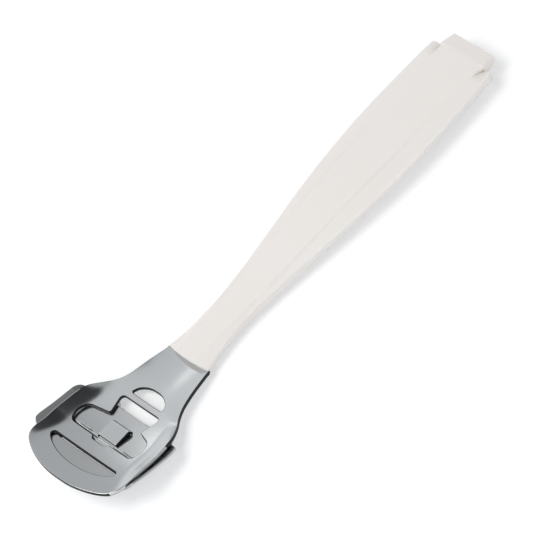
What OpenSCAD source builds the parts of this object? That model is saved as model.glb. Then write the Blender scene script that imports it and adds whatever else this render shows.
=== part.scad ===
// Foot tool: a curved steel shaving head on a moulded handle.
// The tool lies along Y with its head at -Y, on the flat underside of its handle at z = 0.
// All lengths are millimetres and all angles are degrees.

/* [Handle] */
// Length from the front lip of the head to the end of the handle
tool_len = 162; // [150:1:180]
// Length of the steel head that shows in front of the handle
head_len = 48; // [47:1:54]
// Thickness of the handle's rear half
handle_t = 6.2; // [5.4:0.2:9]
// Thickness of the handle where the steel enters it
collar_t = 3.6; // [3.2:0.2:4.4]
// Widest width of the handle
handle_w = 25.2; // [22:0.2:30]
// Width of the handle where the steel enters it
collar_w = 16.6; // [14:0.2:18]
// Width of the waist behind the collar
waist_w = 11.4; // [10.4:0.2:13]
// Distance of the waist behind the collar's face
waist_back = 17; // [12:0.5:22]
// Distance of the widest place behind the collar's face
swell_back = 82; // [70:1:92]
// Distance behind the collar's face at which the handle is at its full thickness
rise_len = 66; // [50:1:80]
// Width across the shoulders at the handle's end
shoulder_w = 22.8; // [20:0.2:25]
// Radius of the shoulders' corners
shoulder_r = 1.4; // [0.8:0.2:2.4]
// Width of the raised band at the waist
band_w = 9.2; // [7:0.2:9.8]
// Width of the tab at the handle's end, and of the band there
tab_w = 16.4; // [14:0.2:18]
// Length of the tab past the shoulders
tab_len = 4.4; // [2:0.2:8]
// Fall of the side facets below the band
facet_fall = 22; // [14:1:24]
// Width of the flat band under the waist
under_w = 4.8; // [4:0.2:6]
// Width of the flat band under the handle's end
under_end_w = 7; // [5:0.2:9]
// Rise of the facets beside the flat underside
under_rise = 18; // [12:1:20]

/* [Head plate] */
// Thickness of the head's sheet
plate_t = 0.8; // [0.6:0.1:1]
// Radius of the dish along the tool, on its hollow side
dish_r = 57; // [50:1:70]
// Radius of the dish across the tool
dish_side_r = 75; // [60:1:110]
// Distance of the dish's lowest place behind the lip
dish_back = 22.5; // [20:0.5:24]
// Width of the head across the rims of its side walls
rim_w = 38.4; // [36:0.2:41]
// Height of those rims above the lowest place of the dish
rim_h = 4.4; // [3.8:0.1:5]
// Rise of the side walls above level
wall_lean = 33; // [28:1:40]
// Distance behind the lip at which the side walls begin to fall
wall_back = 17.5; // [16:0.5:20]
// Fall of the side walls from there to the neck
wall_fall = 20; // [14:1:26]
// Width of the neck where it meets the handle
neck_w = 16; // [13.6:0.2:17.6]
// Length of the tang inside the handle
tang_len = 18; // [10:1:26]
// Width of the tang inside the handle
tang_w = 7.4; // [5:0.2:7.8]

/* [Windows] */
// Depth of the lip in front of the first window
lip_d = 5.4; // [4.8:0.2:6.2]
// Width of the window behind the lip
lip_window_w = 28; // [24:0.5:29]
// Depth of that window, front to back
lip_window_d = 5.8; // [5:0.1:6.2]
// Depth of the bar behind it
front_bar_d = 5; // [4.6:0.1:5.6]
// Width of the middle window's two arms together
arms_w = 27.4; // [24:0.2:29]
// Depth of the arms, front to back
arms_d = 7.5; // [6.6:0.1:7.8]
// Width of the middle window's stem at its narrow end
stem_w = 13; // [11:0.2:15]
// Width of the middle window's stem at its wide end
stem_end_w = 16.8; // [15.2:0.2:17]
// Length of the stem
stem_len = 5.5; // [5:0.1:6.2]
// Depth of the bar behind the stem
rear_bar_d = 2.6; // [2:0.1:3.4]
// Width of the half-moon window's straight edge
moon_w = 13; // [10:0.5:14]
// Depth of the half-moon window
moon_d = 3.6; // [3:0.1:3.8]
// Depth of the hollow in the front bar that faces the latch tongue
scallop_d = 0.9; // [0.5:0.1:1.2]
// Width of that hollow
scallop_w = 9; // [8:0.2:10]

/* [Sole plate] */
// Thickness of the sole's sheet
sole_t = 0.7; // [0.5:0.1:0.8]
// Gap between the head plate and the sole, which holds the blade
plate_gap = 0.7; // [0.6:0.05:0.9]
// Width across the tips of the two ears
ear_span = 43.6; // [42:0.2:46]
// Length of an ear along the head
ear_len = 14.5; // [10:0.5:16]
// Rise of the ears above level
ear_lean = 28; // [22:1:30]
// Radius of the ears' corners
ear_r = 2.4; // [1.2:0.2:2.6]
// Width of the latch tongue
tongue_w = 7.1; // [5:0.1:7.6]
// Length of the latch tongue
tongue_len = 5.3; // [4.4:0.1:5.6]
// Height of the latch tongue above the sole
tongue_rise = 2.5; // [2.2:0.1:3.2]
// Depth of the throat that the shavings pass
throat_d = 1.2; // [1:0.1:1.6]
// Width of the throat
throat_w = 26; // [22:0.5:28]

/* [Blade] */
// Thickness of the blade
blade_t = 0.2; // [0.1:0.05:0.25]
// Depth of the blade from its cutting edge to its back
blade_d = 6.2; // [5:0.1:6.4]
// Length of the blade across the head
blade_len = 32; // [26:0.5:33]

/* [Hinge] */
// Radius of the hinge pins at the sole's back edge
pin_r = 0.65; // [0.5:0.05:0.7]
// Running gap round the hinge pins
pin_gap = 0.08; // [0.05:0.01:0.1]
// Sheet thickness of the hinge eyes under the head plate
eye_t = 0.55; // [0.45:0.05:0.65]
// Width of a hinge eye
eye_w = 2.2; // [1.6:0.1:2.4]
// Distance between the middles of the two hinge eyes
eye_span = 22; // [21.6:0.2:23]

/* [Hidden] */

// Run of a cut past what it cuts
over = 8;
// Gap round the tang in its socket, and before the handle's face
seat_gap = 0.1;
// Gap between the blade and the sole that carries it
blade_gap = 0.1;
// Gap that moving sheets keep from each other
run_gap = 0.35;
// Room beside the blade, inside the feet of the ears
blade_side = 1;
// Smoothness of circles
round_fn = 120;
// Number of straight steps along one stretch of an outline
curve_steps = 16;

// Places along the tool
front_y = -tool_len / 2;
end_y = tool_len / 2;
collar_y = front_y + head_len;
waist_y = collar_y + waist_back;
swell_y = collar_y + swell_back;
shoulder_y = end_y - tab_len;

// Heights: the hinge eyes stand on the plane of the handle's underside, and the sheet is above them
eye_r = pin_r + pin_gap + eye_t;
knuckle_r = pin_r + eye_t * 0.8;
hinge_z = eye_r;
plate_z = hinge_z + knuckle_r + 0.55 * plate_t;
mid_z = plate_z - plate_t / 2;
collar_top = mid_z + collar_t / 2;
collar_under = mid_z - collar_t / 2;
tab_z = handle_t / 2;

// Handle: how the collar narrows, the waist swells and the ends thin out
collar_bend = 2.2;
swell_bend = 1.5;
rise_bend = 1.4;
under_len = rise_len / 2;
end_band_w = tab_w + shoulder_r / 2;
end_slope_len = tab_len * 1.2;
end_edge_share = 0.15;

// Head: the dish turns about a cross axis at this place, and runs on level behind it
dish_y = front_y + dish_back;
dish_z = plate_z + dish_r;
span = rim_w / 2;
level_len = collar_y + tang_len + seat_gap - dish_y;

// Half outline of the head plate: shares of the half span, and of the head's length
lip_shares = [[0, 0], [0.2, 0.003], [0.41, 0.013], [0.68, 0.037], [0.86, 0.07],
              [0.965, 0.12], [1, 0.19], [1, 0.29], [1, 0.42]];
// Half outline of the neck: shares of the way from the neck's width to the span, and of the head's length
neck_shares = [[0.97, 0.5], [0.86, 0.573], [0.6, 0.637], [0.39, 0.69],
               [0.25, 0.745], [0.16, 0.83], [0.08, 0.915], [0, 1]];

// Windows, from the lip to the neck
window_r = 1.4;
lip_window_y = front_y + lip_d + lip_window_d;
arms_y = lip_window_y + front_bar_d;
stem_y = arms_y + arms_d;
rear_bar_y = stem_y + stem_len;
moon_y = rear_bar_y + rear_bar_d;
lip_window_bow = lip_window_d - 2 * window_r;
lip_window_r = (pow(lip_window_w / 2 - window_r, 2) + pow(lip_window_bow, 2)) / (2 * lip_window_bow);
moon_r = (pow(moon_w / 2, 2) + pow(moon_d, 2)) / (2 * moon_d);
scallop_r = (pow(scallop_w / 2, 2) + pow(scallop_d, 2)) / (2 * scallop_d);

// Sole: a sheet under the head plate that keeps its distance from it
sole_drop = plate_t + plate_gap;
ear_foot = blade_len / 2 + blade_side;
ear_h = (ear_span / 2 - ear_foot) / cos(ear_lean);
sole_front_y = front_y + lip_d / 2;
sole_back_y = rear_bar_y - throat_d * 2;
throat_y = lip_window_y - throat_d / 2;
ear_mid_y = arms_y;
tongue_y = arms_y + tongue_len + scallop_d / 2;
tongue_z = plate_z - sole_drop + tongue_rise;

// Blade: lies on the sole, with its edge over the middle of the throat
blade_drop = sole_drop - blade_gap - blade_t;
blade_y = throat_y;
stop_h = plate_gap / 2;
stop_w = tongue_w * 0.65;
stop_d = sole_t;
stop_x = tongue_w;

// Hinge: eyes under the head plate, knuckles and pins on the sole
knuckle_w = eye_w / 2;
hinge_y = sole_back_y + sole_t / 3;

// Half width of the handle at a place along it
function handle_half(y) =
    y < waist_y ? waist_w / 2 + (collar_w - waist_w) / 2 * pow((waist_y - y) / waist_back, collar_bend)
  : y < swell_y ? waist_w / 2 + (handle_w - waist_w) / 2
                  * pow(sin(90 * (y - waist_y) / (swell_y - waist_y)), swell_bend)
  : handle_w / 2 - (handle_w - shoulder_w) / 2 * pow((y - swell_y) / (shoulder_y - swell_y), 2);

// Height of the handle's band at a place along it
function handle_top(y) =
    y < collar_y + rise_len
    ? collar_top + (handle_t - collar_top) * pow((1 - cos(180 * (y - collar_y) / rise_len)) / 2, rise_bend)
    : handle_t;

// Height of the handle's underside at a place along it
function handle_under(y) =
    y < collar_y + under_len ? collar_under * pow((collar_y + under_len - y) / under_len, 2) : 0;

// Point of a smooth curve through four points, a share of the way from the second to the third
function curve_point(a, b, c, d, t) =
    (2 * b + t * (c - a) + t * t * (2 * a - 5 * b + 4 * c - d) + t * t * t * (3 * b - a - 3 * c + d)) / 2;

// Smooth curve through a list of points
function curve(p, steps) =
    let (last = len(p) - 1)
    [for (i = [0 : last - 1], k = [0 : steps - 1])
        curve_point(p[max(i - 1, 0)], p[i], p[i + 1], p[min(i + 2, last)], k / steps),
     p[last]];

// The right half of an outline, and the same points mirrored for the left half
function both_sides(p) =
    concat(p, [for (i = [len(p) - 1 : -1 : 0]) if (p[i][0] > 0) [-p[i][0], p[i][1]]]);

// Mirrors its children to the left side too
module sides() {
    children();
    mirror([1, 0, 0]) children();
}

// Sweeps a profile of [distance below the cross axis, x] round the dish, then back along the level part
module dish_sweep() {
    translate([0, dish_y, dish_z]) {
        intersection() {
            rotate([0, 90, 0])
                rotate_extrude($fn = round_fn) children();
            translate([-tool_len, -tool_len, -tool_len])
                cube([2 * tool_len, tool_len, tool_len]);
        }
        translate([0, level_len, 0])
            rotate([90, 0, 0])
                linear_extrude(level_len)
                    rotate(-90) children();
    }
}

// Profile of a sheet some way below the hollow side of the dish, out to a half width
module sheet_profile(drop, t, half_w) {
    intersection() {
        translate([dish_r - dish_side_r, 0])
            difference() {
                circle(dish_side_r + drop + t, $fn = round_fn);
                circle(dish_side_r + drop, $fn = round_fn);
            }
        translate([0, -half_w])
            square([dish_r + drop + t, 2 * half_w]);
    }
}

// Profile of all that is above a surface some way below the dish, out to a half width
module hollow_profile(drop, half_w) {
    intersection() {
        translate([dish_r - dish_side_r, 0])
            circle(dish_side_r + drop, $fn = round_fn);
        translate([0, -half_w])
            square([dish_r + drop, 2 * half_w]);
    }
}

// Profile of a straight ear that rises from a sheet's side
module ear_profile(drop, t, foot, h, lean) {
    centre = dish_r - dish_side_r;
    foot_r = centre + sqrt(pow(dish_side_r + drop, 2) - foot * foot);
    under_r = centre + sqrt(pow(dish_side_r + drop + t, 2) - foot * foot);
    for (side = [-1, 1])
        polygon([
            [foot_r, side * foot],
            [foot_r - h * sin(lean), side * (foot + h * cos(lean))],
            [foot_r - h * sin(lean) + t * cos(lean), side * (foot + h * cos(lean) + t * sin(lean))],
            [foot_r + t * cos(lean), side * (foot + t * sin(lean))],
            [under_r, side * foot]
        ]);
}

// Space between the two side walls, and above their fall to the neck, grown outwards by a thickness
module wall_space(t) {
    foot_x = span - (rim_h + over) / tan(wall_lean) + t / sin(wall_lean);
    top_x = span + over / tan(wall_lean) + t / sin(wall_lean);
    translate([0, end_y, plate_z])
        rotate([90, 0, 0])
            linear_extrude(tool_len + over)
                polygon([[foot_x, -over], [top_x, rim_h + over], [-top_x, rim_h + over], [-foot_x, -over]]);
    translate([0, front_y + wall_back, plate_z + rim_h])
        rotate([-wall_fall, 0, 0])
            translate([-tool_len, -tool_len, -t])
                cube([2 * tool_len, 2 * tool_len, 2 * over]);
}

// Upright prism over a plan, through the whole height of the tool
module upright() {
    translate([0, 0, -over])
        linear_extrude(dish_r + over) children();
}

// Plan of the handle
module handle_plan() {
    steps = 4 * curve_steps;
    run = shoulder_y - shoulder_r - collar_y;
    half_end = handle_half(shoulder_y - shoulder_r);
    polygon(both_sides(concat(
        [[0, collar_y]],
        [for (i = [0 : steps]) [handle_half(collar_y + run * i / steps), collar_y + run * i / steps]],
        [for (a = [15 : 15 : 90])
            [half_end - shoulder_r * (1 - cos(a)), shoulder_y - shoulder_r * (1 - sin(a))]],
        [[0, shoulder_y]])));
}

// Everything below the handle's top curve, or above its underside where the flip is -1
module handle_face(flip) {
    steps = 2 * curve_steps;
    run = flip > 0 ? rise_len : under_len;
    edge = [for (i = [0 : steps])
        let (y = collar_y + run * i / steps)
        [y, flip > 0 ? handle_top(y) : handle_under(y)]];
    far_z = flip > 0 ? -handle_w : handle_t + handle_w;
    translate([-2 * handle_w, 0, 0])
        rotate([90, 0, 90])
            linear_extrude(4 * handle_w)
                polygon(concat([[collar_y - over, edge[0][1]]], edge,
                    [[end_y + over, edge[steps][1]], [end_y + over, far_z], [collar_y - over, far_z]]));
}

// The same face turned down beside a band that widens from the waist to the shoulders
module handle_facet(flip, waist_band, end_band, fall) {
    yaw = atan((end_band - waist_band) / 2 / (shoulder_y - waist_y));
    ridge_z = flip > 0 ? handle_t : 0;
    translate([waist_band / 2, waist_y, ridge_z])
        rotate([0, flip * fall, -yaw])
            translate([0, -waist_y, -ridge_z])
                handle_face(flip);
}

// Space above the slope at the end of a side facet
module end_cut() {
    translate([tab_w / 2, shoulder_y, tab_z + handle_t * end_edge_share])
        rotate([-atan(tab_z / end_slope_len), 0, 0])
            translate([0, -end_slope_len * 2, 0])
                cube([handle_w, end_slope_len * 4, handle_t]);
}

// Moulded handle with a raised band, side facets, end tab and tang socket
module handle() {
    color([0.91, 0.895, 0.88])
    difference() {
        intersection() {
            union() {
                upright() handle_plan();
                translate([-tab_w / 2, shoulder_y - tab_len, tab_z])
                    cube([tab_w, 2 * tab_len, tab_z]);
            }
            handle_face(1);
            handle_face(-1);
            handle_facet(1, band_w, end_band_w, facet_fall);
            mirror([1, 0, 0]) handle_facet(1, band_w, end_band_w, facet_fall);
            handle_facet(-1, under_w, under_end_w, under_rise);
            mirror([1, 0, 0]) handle_facet(-1, under_w, under_end_w, under_rise);
        }
        sides() end_cut();
        intersection() {
            dish_sweep() sheet_profile(-seat_gap, plate_t + 2 * seat_gap, tang_w / 2 + seat_gap);
            translate([-tang_w, collar_y - over, -over])
                cube([2 * tang_w, over + tang_len + seat_gap, handle_t + 2 * over]);
        }
    }
}

// Plan of the head plate, from its lip to the end of its tang
module head_plan() {
    neck_end = collar_y - seat_gap;
    lip = [for (p = lip_shares) [p[0] * span, front_y + p[1] * (neck_end - front_y)]];
    neck = [for (p = neck_shares)
        [neck_w / 2 + p[0] * (span - neck_w / 2), front_y + p[1] * (neck_end - front_y)]];
    tang = [[tang_w / 2, neck_end], [tang_w / 2, collar_y + tang_len], [0, collar_y + tang_len]];
    polygon(both_sides(concat(curve(concat(lip, neck), 4), tang)));
}

// Plan of the window behind the lip, curved at its front
module lip_window_plan() {
    corner_x = lip_window_w / 2 - window_r;
    intersection() {
        translate([0, lip_window_y - lip_window_d + lip_window_r])
            circle(lip_window_r, $fn = round_fn);
        translate([-corner_x, lip_window_y - lip_window_d])
            square([2 * corner_x, lip_window_d]);
    }
    for (side = [-1, 1])
        translate([side * corner_x, lip_window_y - window_r])
            circle(window_r, $fn = round_fn);
}

// Plan of the middle window: two arms with round corners, a widening stem and the hollow for the tongue
module middle_window_plan() {
    corner_x = arms_w / 2 - window_r;
    translate([-corner_x, arms_y])
        square([2 * corner_x, arms_d]);
    translate([-arms_w / 2, arms_y + window_r])
        square([arms_w, arms_d - 2 * window_r]);
    for (x = [-corner_x, corner_x], y = [arms_y + window_r, stem_y - window_r])
        translate([x, y])
            circle(window_r, $fn = round_fn);
    polygon([
        [-stem_w / 2, stem_y - window_r], [stem_w / 2, stem_y - window_r], [stem_w / 2, stem_y],
        [stem_end_w / 2, rear_bar_y], [-stem_end_w / 2, rear_bar_y], [-stem_w / 2, stem_y]
    ]);
    intersection() {
        translate([0, arms_y - scallop_d + scallop_r])
            circle(scallop_r, $fn = round_fn);
        translate([-scallop_w / 2, arms_y - scallop_d])
            square([scallop_w, 2 * scallop_d]);
    }
}

// Plan of the half-moon window, with its straight edge to the front
module moon_plan() {
    intersection() {
        translate([0, moon_y + moon_d - moon_r])
            circle(moon_r, $fn = round_fn);
        translate([-moon_w / 2, moon_y])
            square([moon_w, moon_d]);
    }
}

// Hinge eye under the head plate, with its running bore
module hinge_eye() {
    difference() {
        union() {
            translate([eye_span / 2 - eye_w / 2, hinge_y, hinge_z])
                rotate([0, 90, 0])
                    cylinder(h = eye_w, r = eye_r, $fn = round_fn);
            intersection() {
                translate([eye_span / 2 - eye_w / 2, hinge_y - eye_r, hinge_z])
                    cube([eye_w, 2 * eye_r, plate_t + 3 * eye_r]);
                dish_sweep() sheet_profile(plate_t / 2, 2 * plate_t + 2 * eye_r, eye_span);
            }
        }
        translate([eye_span / 2 - eye_w, hinge_y, hinge_z])
            rotate([0, 90, 0])
                cylinder(h = 2 * eye_w, r = pin_r + pin_gap, $fn = round_fn);
    }
}

// Pressed head plate: dish, side walls, windows, neck, tang and hinge eyes
module head_plate() {
    color([0.67, 0.69, 0.70]) {
        difference() {
            intersection() {
                upright() head_plan();
                dish_sweep() hollow_profile(plate_t, span + over);
                wall_space(plate_t);
            }
            intersection() {
                dish_sweep() hollow_profile(0, span + over);
                wall_space(0);
            }
            upright() {
                lip_window_plan();
                middle_window_plan();
                moon_plan();
            }
        }
        sides() hinge_eye();
    }
}

// Plan of the sole's sheet under the dish
module sole_plan() {
    front_r = span * 2.5;
    half = ear_foot + sole_t / 2;
    intersection() {
        translate([0, sole_front_y + front_r])
            circle(front_r, $fn = round_fn);
        translate([-half, sole_front_y])
            square([2 * half, sole_back_y - sole_front_y]);
    }
}

// Plan of the right ear, with round corners
module ear_plan() {
    ear_y = ear_mid_y - ear_len / 2;
    tip = ear_foot + ear_h * cos(ear_lean) + sole_t;
    for (y = [ear_y + ear_r, ear_y + ear_len - ear_r])
        translate([tip - ear_r, y])
            circle(ear_r, $fn = round_fn);
    translate([ear_foot - ear_r, ear_y])
        square([tip - ear_foot, ear_len]);
    translate([ear_foot - ear_r, ear_y + ear_r])
        square([tip - ear_foot + ear_r, ear_len - 2 * ear_r]);
}

// Latch tongue: raised from the sole at its back, and level towards the front
module tongue() {
    root_z = plate_z - sole_drop - sole_t / 2;
    riser = tongue_rise / 2;
    translate([-tongue_w / 2, tongue_y, 0])
        rotate([90, 0, 90])
            linear_extrude(tongue_w)
                polygon([
                    [sole_t, root_z], [-riser, tongue_z], [-tongue_len, tongue_z],
                    [-tongue_len, tongue_z - sole_t], [-riser - sole_t / 2, tongue_z - sole_t],
                    [-sole_t / 2, root_z]
                ]);
}

// Hinge knuckles on both sides of an eye, and the pin between them
module hinge_pin() {
    inner = eye_span / 2 - eye_w / 2 - run_gap;
    outer = eye_span / 2 + eye_w / 2 + run_gap;
    translate([inner - knuckle_w, hinge_y, hinge_z])
        rotate([0, 90, 0])
            cylinder(h = outer - inner + 2 * knuckle_w, r = pin_r, $fn = round_fn);
    for (x = [inner - knuckle_w, outer]) {
        translate([x, hinge_y, hinge_z])
            rotate([0, 90, 0])
                cylinder(h = knuckle_w, r = knuckle_r, $fn = round_fn);
        intersection() {
            translate([x, hinge_y - knuckle_r, hinge_z])
                cube([knuckle_w, knuckle_r, plate_t + 3 * knuckle_r]);
            dish_sweep() sheet_profile(sole_drop + sole_t / 3, 2 * knuckle_r + sole_t, eye_span);
        }
    }
}

// Pressed sole: sheet, ears, throat, blade stops, latch tongue and hinge pins
module sole_plate() {
    color([0.70, 0.72, 0.73]) {
        difference() {
            intersection() {
                dish_sweep() {
                    sheet_profile(sole_drop, sole_t, ear_foot);
                    ear_profile(sole_drop, sole_t, ear_foot, ear_h, ear_lean);
                }
                upright() {
                    sole_plan();
                    sides() ear_plan();
                }
            }
            upright() {
                translate([-throat_w / 2 + throat_d / 2, throat_y - throat_d / 2])
                    square([throat_w - throat_d, throat_d]);
                for (side = [-1, 1])
                    translate([side * (throat_w - throat_d) / 2, throat_y])
                        circle(throat_d / 2, $fn = round_fn);
                translate([-tongue_w / 2 - run_gap, tongue_y - tongue_len - run_gap])
                    square([tongue_w + 2 * run_gap, tongue_len - sole_t + run_gap]);
                for (side = [-1, 1])
                    translate([side * eye_span / 2 - eye_w / 2 - run_gap, hinge_y - eye_r - run_gap])
                        square([eye_w + 2 * run_gap, 2 * eye_r + run_gap]);
            }
        }
        tongue();
        sides() hinge_pin();
        intersection() {
            dish_sweep() sheet_profile(sole_drop - stop_h, stop_h + sole_t / 2, ear_foot);
            upright()
                for (side = [-1, 1])
                    translate([side * (stop_x + stop_w / 2) - stop_w / 2, blade_y + blade_d + blade_gap])
                        square([stop_w, stop_d]);
        }
    }
}

// Replaceable blade: a thin strip bent to the dish
module blade() {
    color([0.78, 0.80, 0.82])
    intersection() {
        dish_sweep() sheet_profile(blade_drop, blade_t, blade_len / 2);
        upright()
            translate([-blade_len / 2, blade_y])
                square([blade_len, blade_d]);
    }
}

handle();
head_plate();
sole_plate();
blade();
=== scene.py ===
import logging
import math
from dataclasses import dataclass
from enum import Enum
from typing import Callable

import bmesh
import bpy
from mathutils import Matrix, Vector
from mathutils.kdtree import KDTree


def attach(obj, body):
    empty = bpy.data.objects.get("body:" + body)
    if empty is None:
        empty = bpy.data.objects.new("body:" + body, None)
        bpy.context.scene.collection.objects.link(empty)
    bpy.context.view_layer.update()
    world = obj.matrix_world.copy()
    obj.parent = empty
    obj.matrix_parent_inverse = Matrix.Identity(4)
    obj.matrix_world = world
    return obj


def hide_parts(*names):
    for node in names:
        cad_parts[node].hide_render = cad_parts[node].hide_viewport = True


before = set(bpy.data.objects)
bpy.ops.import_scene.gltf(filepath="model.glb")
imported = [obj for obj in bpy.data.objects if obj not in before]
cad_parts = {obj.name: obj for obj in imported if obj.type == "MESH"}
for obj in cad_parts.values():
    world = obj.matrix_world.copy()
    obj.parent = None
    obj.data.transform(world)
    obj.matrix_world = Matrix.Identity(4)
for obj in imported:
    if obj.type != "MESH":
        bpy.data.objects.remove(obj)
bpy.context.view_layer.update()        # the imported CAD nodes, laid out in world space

LOG = logging.getLogger("foot_tool")
MM = 0.001
HAIR = 1e-6               # a distance that counts as none
BEVEL_STEPS = 2
ROD_SIDES = 40
RING_POINTS = 12          # points round the handle, twice those of a half section less two
SIDE_PARTS = 2.05         # a rounding takes at most one such part of a side
Point = tuple[float, float]
Place = tuple[float, float, float]
Colour = tuple[float, float, float]
Surface = Callable[[float, float], float]


class Body(Enum):
    """The two bodies that pieces ride on."""

    GRIP = "grip"
    SOLE = "sole"


class Cut(Enum):
    """What a cutter does to a piece."""

    UNION = "UNION"
    DIFFERENCE = "DIFFERENCE"


# Small tools of the bench

def ease(value: float) -> float:
    """Ease a share smoothly from 0 to 1."""
    share = min(max(value, 0.0), 1.0)
    return share * share * (3 - 2 * share)


def soft_ramp(value: float, radius: float) -> float:
    """Rise from 0 with slope 1, with a soft bend at 0.

    Args:
        value: Distance past the middle of the bend.
        radius: How far the bend reaches on each side.

    Returns:
        The height of the ramp.
    """
    if value <= -radius:
        return 0.0
    if value >= radius:
        return value
    return (value + radius) ** 2 / (4 * radius)


def smooth_line(points: list[Point], steps: int) -> list[Point]:
    """Draw a smooth line (Catmull-Rom) through points.

    Args:
        points: The places that the line passes, in order.
        steps: Straight steps between two places.

    Returns:
        The points of the smooth line, with both ends.
    """
    line: list[Point] = []
    last = len(points) - 1
    for i in range(last):
        a, b, c, d = points[max(i - 1, 0)], points[i], points[i + 1], points[min(i + 2, last)]
        for k in range(steps):
            t = k / steps
            line.append(tuple(
                0.5 * (2 * b[n] + t * (c[n] - a[n]) + t * t * (2 * a[n] - 5 * b[n] + 4 * c[n] - d[n])
                       + t ** 3 * (3 * b[n] - a[n] - 3 * c[n] + d[n])) for n in (0, 1)))
    return line + [points[-1]]


def both_sides(half: list[Point]) -> list[Point]:
    """Close a right half outline with its mirrored left half."""
    return half + [(-x, y) for x, y in reversed(half) if x > HAIR]


def shifted(points: list[Point], x_shift: float) -> list[Point]:
    """Move an outline sideways."""
    return [(x + x_shift, y) for x, y in points]


def round_corners(points: list[Point], radius: float | list[float], steps: int = 6) -> list[Point]:
    """Round every corner of a closed outline.

    Args:
        points: Corners of the outline.
        radius: Radius of the rounding, or one for each corner, cut down where a side is short.
        steps: Straight steps along one corner.

    Returns:
        The rounded outline.
    """
    out: list[Point] = []
    count = len(points)
    radii = radius if isinstance(radius, list) else [radius] * count
    for i in range(count):
        here = Vector(points[i])
        to_last = Vector(points[i - 1]) - here
        to_next = Vector(points[(i + 1) % count]) - here
        half_angle = to_last.angle(to_next) / 2
        shorter = min(to_last.length, to_next.length)
        reach = min(radii[i] / math.tan(half_angle), shorter / SIDE_PARTS)
        start = here + to_last.normalized() * reach
        end = here + to_next.normalized() * reach
        for k in range(steps + 1):
            t = k / steps
            place = start * (1 - t) ** 2 + here * 2 * t * (1 - t) + end * t * t
            out.append((place.x, place.y))
    return out


def rounded_rectangle(half: float, y: Point, radius: float, steps: int = 6) -> list[Point]:
    """Draw a rectangle across the middle, with rounded corners."""
    return round_corners([(-half, y[0]), (half, y[0]), (half, y[1]), (-half, y[1])], radius, steps)


def pick(piece: bpy.types.Object) -> None:
    """Select one piece alone and make it active.

    Args:
        piece: The piece to select.
    """
    bpy.ops.object.select_all(action="DESELECT")
    piece.select_set(True)
    bpy.context.view_layer.objects.active = piece


def open_edit(piece: bpy.types.Object, select: str = "SELECT") -> None:
    """Enter edit mode on one piece.

    Args:
        piece: The piece to edit.
        select: SELECT for all of its mesh, or DESELECT for nothing.
    """
    pick(piece)
    bpy.ops.object.mode_set(mode="EDIT")
    bpy.ops.mesh.select_all(action=select)


def close_edit() -> None:
    """Leave edit mode."""
    bpy.ops.object.mode_set(mode="OBJECT")


def take_primitive(name: str) -> bpy.types.Object:
    """Name the primitive that was just added.

    Args:
        name: Name for the piece and its mesh.

    Returns:
        The piece.
    """
    piece = bpy.context.object
    piece.name = name
    piece.data.name = name
    return piece


def bake_place(piece: bpy.types.Object) -> None:
    """Apply a piece's place, turn and scale to its mesh."""
    pick(piece)
    bpy.ops.object.transform_apply(location=True, rotation=True, scale=True)


def finish_modifier(piece: bpy.types.Object, kind: str, **settings: object) -> None:
    """Add one modifier and apply it.

    Args:
        piece: The piece to change.
        kind: Blender's name of the modifier type.
        settings: The modifier's own settings.
    """
    pick(piece)
    modifier = piece.modifiers.new(kind.lower(), kind)
    for key, value in settings.items():
        setattr(modifier, key, value)
    bpy.ops.object.modifier_apply(modifier=modifier.name)


def cut_with(piece: bpy.types.Object, cutter: bpy.types.Object, how: Cut) -> None:
    """Add a cutter to a piece or take it away, and remove the cutter."""
    finish_modifier(piece, "BOOLEAN", operation=how.value, object=cutter, solver="EXACT")
    bpy.data.objects.remove(cutter)


def bevel_edges(piece: bpy.types.Object, chosen: Callable[[list[Vector]], bool], width: float,
                steps: int = BEVEL_STEPS) -> None:
    """Bevel some edges of a piece.

    Args:
        piece: The piece to change.
        chosen: Says by an edge's two ends whether it is bevelled.
        width: Width of the bevel, in millimetres.
        steps: Faces across the bevel.
    """
    open_edit(piece, "DESELECT")
    mesh = bmesh.from_edit_mesh(piece.data)
    for edge in mesh.edges:
        edge.select = chosen([vertex.co for vertex in edge.verts])
    bmesh.update_edit_mesh(piece.data)
    bpy.ops.mesh.bevel(offset=width * MM, segments=steps, affect="EDGES")
    close_edit()


def smooth_faces(piece: bpy.types.Object, degrees: float) -> None:
    """Shade a piece smooth, apart from edges sharper than an angle."""
    pick(piece)
    bpy.ops.object.shade_smooth_by_angle(angle=math.radians(degrees))


def turn_outwards(piece: bpy.types.Object) -> None:
    """Point every face of a closed piece outwards.

    Args:
        piece: The piece to change.
    """
    open_edit(piece)
    bpy.ops.mesh.normals_make_consistent(inside=False)
    close_edit()


def mark_edge_shade(piece: bpy.types.Object, shares: list[float]) -> None:
    """Write on each face its share of painted shade, which darkens edge faces toward black."""
    layer = piece.data.attributes.new("painted_edge_shade", "FLOAT", "FACE")
    layer.data.foreach_set("value", shares)


def join_into(piece: bpy.types.Object, others: list[bpy.types.Object]) -> None:
    """Join other pieces into one.

    Args:
        piece: The piece that stays.
        others: The pieces that become part of it.
    """
    pick(piece)
    for other in others:
        other.select_set(True)
    bpy.ops.object.join()


def block(name: str, low: Place, high: Place, bevel: float = 0.0) -> bpy.types.Object:
    """Make a block between two corners, in millimetres.

    Args:
        name: Name of the piece.
        low: Lowest corner.
        high: Highest corner.
        bevel: Width of the bevel on its edges.

    Returns:
        The block.
    """
    centre = [(a + b) / 2 * MM for a, b in zip(low, high)]
    size = [(b - a) * MM for a, b in zip(low, high)]
    bpy.ops.mesh.primitive_cube_add(size=1, location=centre, scale=size)
    piece = take_primitive(name)
    bake_place(piece)
    if bevel > 0:
        bevel_edges(piece, lambda ends: True, bevel)
    return piece


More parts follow.
